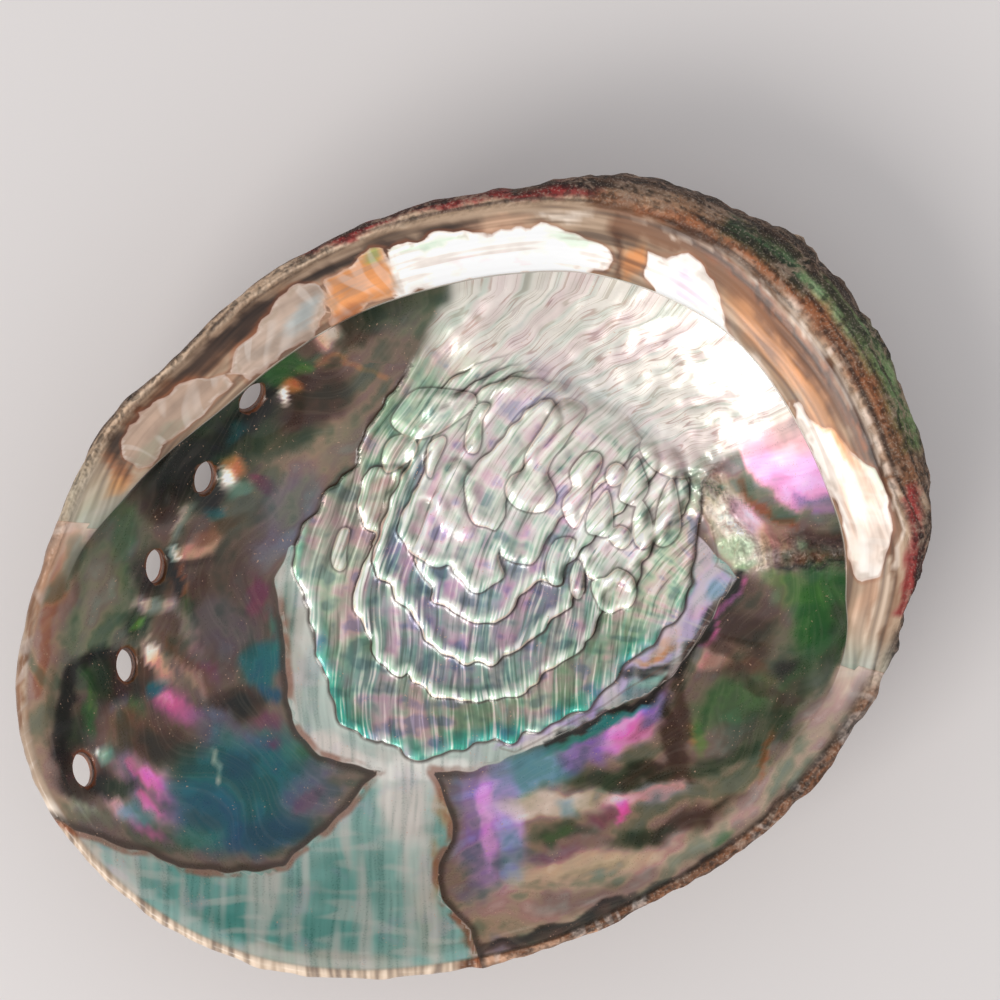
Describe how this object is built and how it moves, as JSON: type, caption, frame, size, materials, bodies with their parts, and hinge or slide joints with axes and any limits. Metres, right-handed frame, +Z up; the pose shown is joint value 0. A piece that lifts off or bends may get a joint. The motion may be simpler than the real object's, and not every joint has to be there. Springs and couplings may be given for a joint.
{
  "type": "green abalone shell",
  "caption": "Oval ear-shaped sea shell lying on its back, a deep pearly bowl with a ledged scar, a shelf round the spire and a row of breathing holes.",
  "frame": {"origin": "middle of the shell in plan, on the surface that it rests on", "axes": "+X along the long axis towards the spire, +Y towards the shelf and the row of holes, +Z up out of the bowl"},
  "size_m": [0.1701, 0.1305, 0.047],
  "materials": {
    "nacre": "polished pearly nacre inside, rough brown growth-lined crust outside"
  },
  "bodies": {
    "root": {"abalone_shell": "nacre"}
  },
  "joints": []
}
